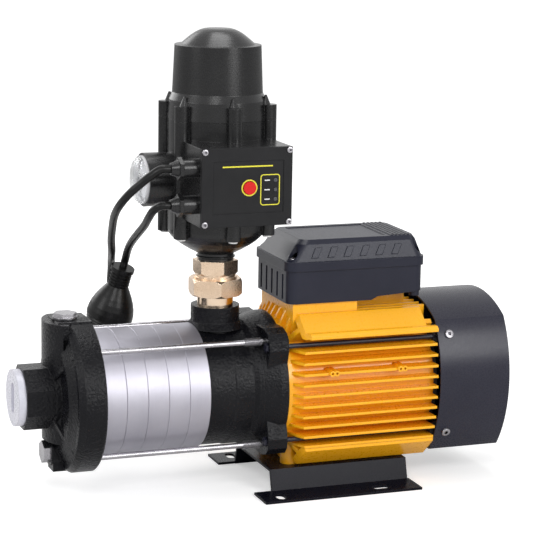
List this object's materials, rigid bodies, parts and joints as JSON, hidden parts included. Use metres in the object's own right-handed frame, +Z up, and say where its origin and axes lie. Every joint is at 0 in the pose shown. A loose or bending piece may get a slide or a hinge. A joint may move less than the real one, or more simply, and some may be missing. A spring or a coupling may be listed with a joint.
{
  "type": "horizontal multistage pump",
  "caption": "Horizontal multistage water pump: electric motor on a sheet foot, stacked steel stages between cast casings, and an automatic pressure control on the outlet.",
  "frame": {"origin": "midway between the foot's two left fixing slots, on the foot's underside", "axes": "+X from the inlet to the fan cover along the shaft, -Y towards the control panel, +Z up"},
  "size_m": [0.4915, 0.2257, 0.4538],
  "materials": {
    "cast_black": "rough black paint",
    "stainless": "satin",
    "zinc": "bright zinc",
    "yellow_paint": "gloss yellow paint on cast aluminium",
    "black_sheet": "satin black paint",
    "cast_aluminium": "black paint",
    "black_plastic": "satin",
    "slate_plastic": "satin",
    "white_plastic": "semi-gloss",
    "red_plastic": "gloss",
    "brass": "pale cast brass",
    "copper_wire": "enamelled wire",
    "ceramic": "polished",
    "rubber": "matte",
    "board_green": "lacquered",
    "clear_lens": "clear"
  },
  "bodies": {
    "pump": {"suction_casing": "cast_black", "priming_plug": "zinc", "drain_plug": "zinc", "stage_ring_1": "stainless", "stage_ring_2": "stainless", "stage_ring_3": "stainless", "stage_ring_4": "stainless", "stage_ring_5": "stainless", "diffusers": "black_plastic", "discharge_casing": "cast_black", "motor_bracket": "cast_black", "tie_rods": "zinc", "tie_rod_nuts": "zinc", "seal_seat": "ceramic", "front_bearing": "stainless", "rear_bearing": "stainless", "stator_core": "stainless", "stator_windings": "copper_wire", "motor_housing": "yellow_paint", "rear_shield": "cast_aluminium", "through_bolts": "black_sheet", "fan_cover": "black_sheet", "fan_cover_screws": "zinc", "terminal_box": "slate_plastic", "terminal_box_lid": "slate_plastic", "lid_screws": "zinc", "capacitor": "white_plastic", "terminal_block": "white_plastic", "terminal_gland": "black_plastic", "foot_bracket": "black_sheet", "foot_bolts": "zinc", "union_tail": "brass", "union_nut": "brass", "union_socket": "brass", "controller_body": "black_plastic", "controller_cap": "black_plastic", "cap_screws": "zinc", "control_cover": "black_plastic", "cover_screws": "zinc", "circuit_board": "board_green", "indicator_lamps": "white_plastic", "gauge_case": "white_plastic", "gauge_lens": "clear_lens", "cable_glands": "black_plastic", "diaphragm": "rubber", "motor_cord": "rubber", "mains_cord": "rubber", "plug_body": "rubber", "plug_pins": "zinc"},
    "rotor": {"shaft": "stainless", "shaft_nut": "zinc", "impellers": "stainless", "seal_head": "stainless", "rotor_core": "stainless", "fan": "black_plastic"},
    "button": {"reset_button": "red_plastic"},
    "needle": {"gauge_needle": "black_plastic"},
    "valve": {"flow_valve": "white_plastic"},
    "cap": {"inlet_cap": "white_plastic"}
  },
  "joints": [
    {"name": "rotor_spin", "type": "hinge", "parent": "pump", "child": "rotor", "pos_m": [0, 0, 0.1025], "axis": [1, 0, 0], "continuous": true},
    {"name": "reset_press", "type": "slide", "parent": "pump", "child": "button", "axis": [0, 1, 0], "range_m": [0, 0.0025], "stiffness_N_per_m": 300},
    {"name": "needle_sweep", "type": "hinge", "parent": "pump", "child": "needle", "pos_m": [-0.12, 0, 0.3093], "axis": [1, 0, 0], "range_deg": [0, 270], "stiffness_Nm_per_rad": 0.0001},
    {"name": "valve_lift", "type": "slide", "parent": "pump", "child": "valve", "axis": [0, 0, 1], "range_m": [0, 0.012], "stiffness_N_per_m": 60},
    {"name": "cap_pull", "type": "slide", "parent": "pump", "child": "cap", "axis": [-1, 0, 0], "range_m": [0, 0.1]}
  ]
}
